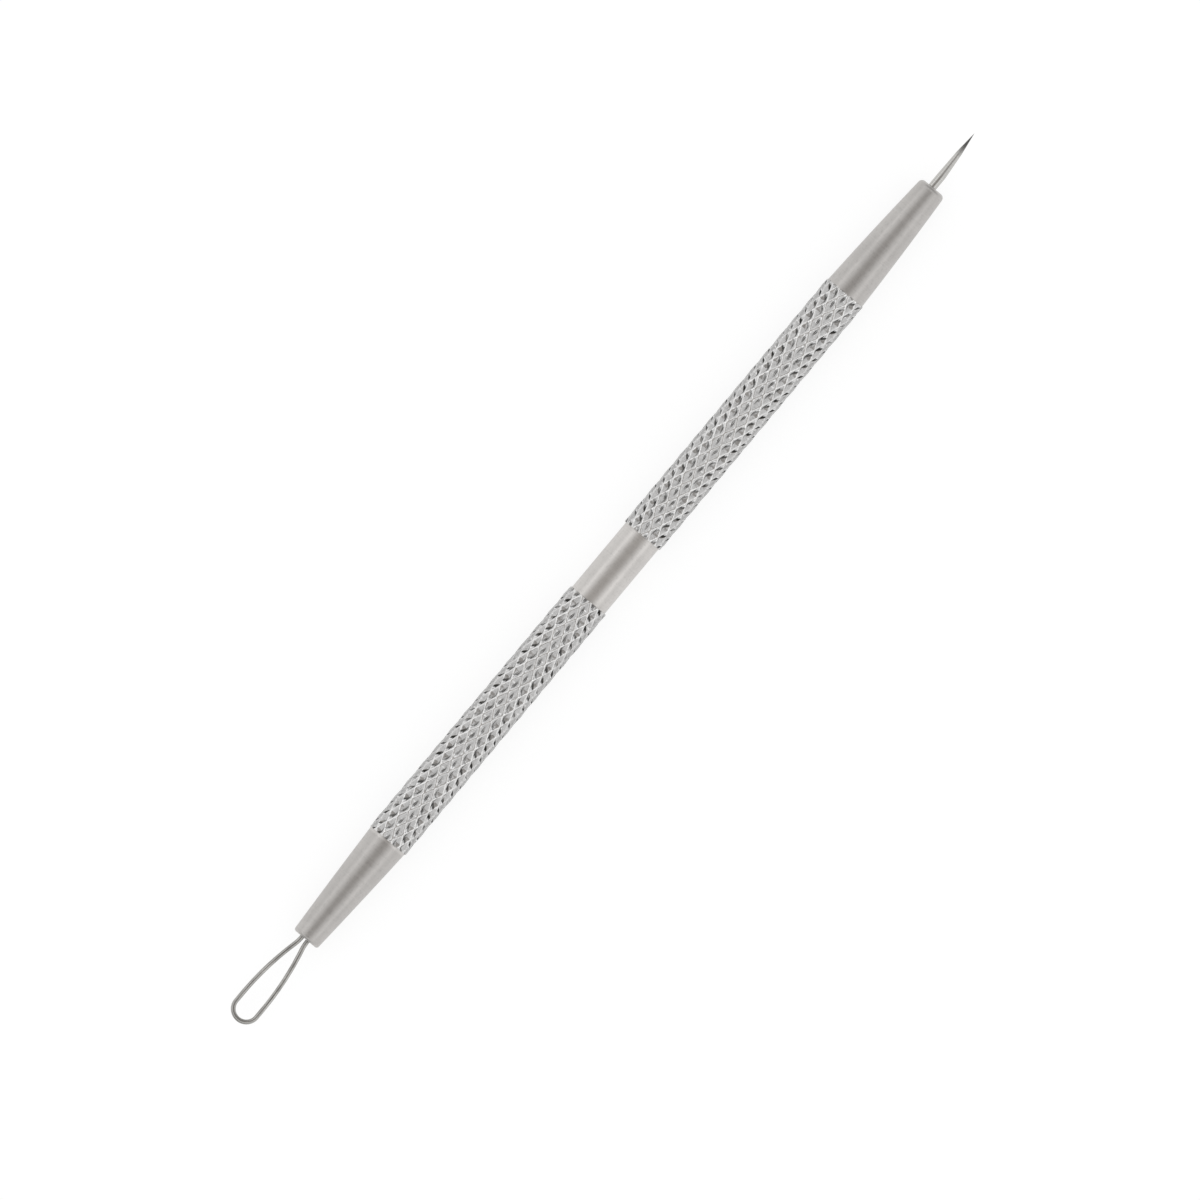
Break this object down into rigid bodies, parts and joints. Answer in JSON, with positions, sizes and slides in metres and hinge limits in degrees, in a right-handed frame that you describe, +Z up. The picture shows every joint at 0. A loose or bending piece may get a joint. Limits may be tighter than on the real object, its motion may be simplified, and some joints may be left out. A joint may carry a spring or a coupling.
{
  "type": "blackhead extractor",
  "caption": "Slim knurled steel hand tool with a flattened wire loop in one tapered nose and a sharp pointed lancet in the other.",
  "frame": {"origin": "on the surface that the tool lies on, under the middle of its length", "axes": "+X along the tool from the wire loop to the lancet, +Z up from the surface, the wire loop flat in the X-Y plane"},
  "size_m": [0.1198, 0.0048, 0.0048],
  "materials": {
    "handle_steel": "satin turned stainless steel, knurled on the grips",
    "wire_steel": "drawn spring steel wire",
    "lancet_steel": "ground and polished stainless steel",
    "solder": "dull silver solder"
  },
  "bodies": {
    "root": {"handle": "handle_steel", "wire_loop": "wire_steel", "lancet": "lancet_steel", "loop_solder": "solder", "lancet_solder": "solder"}
  },
  "joints": []
}
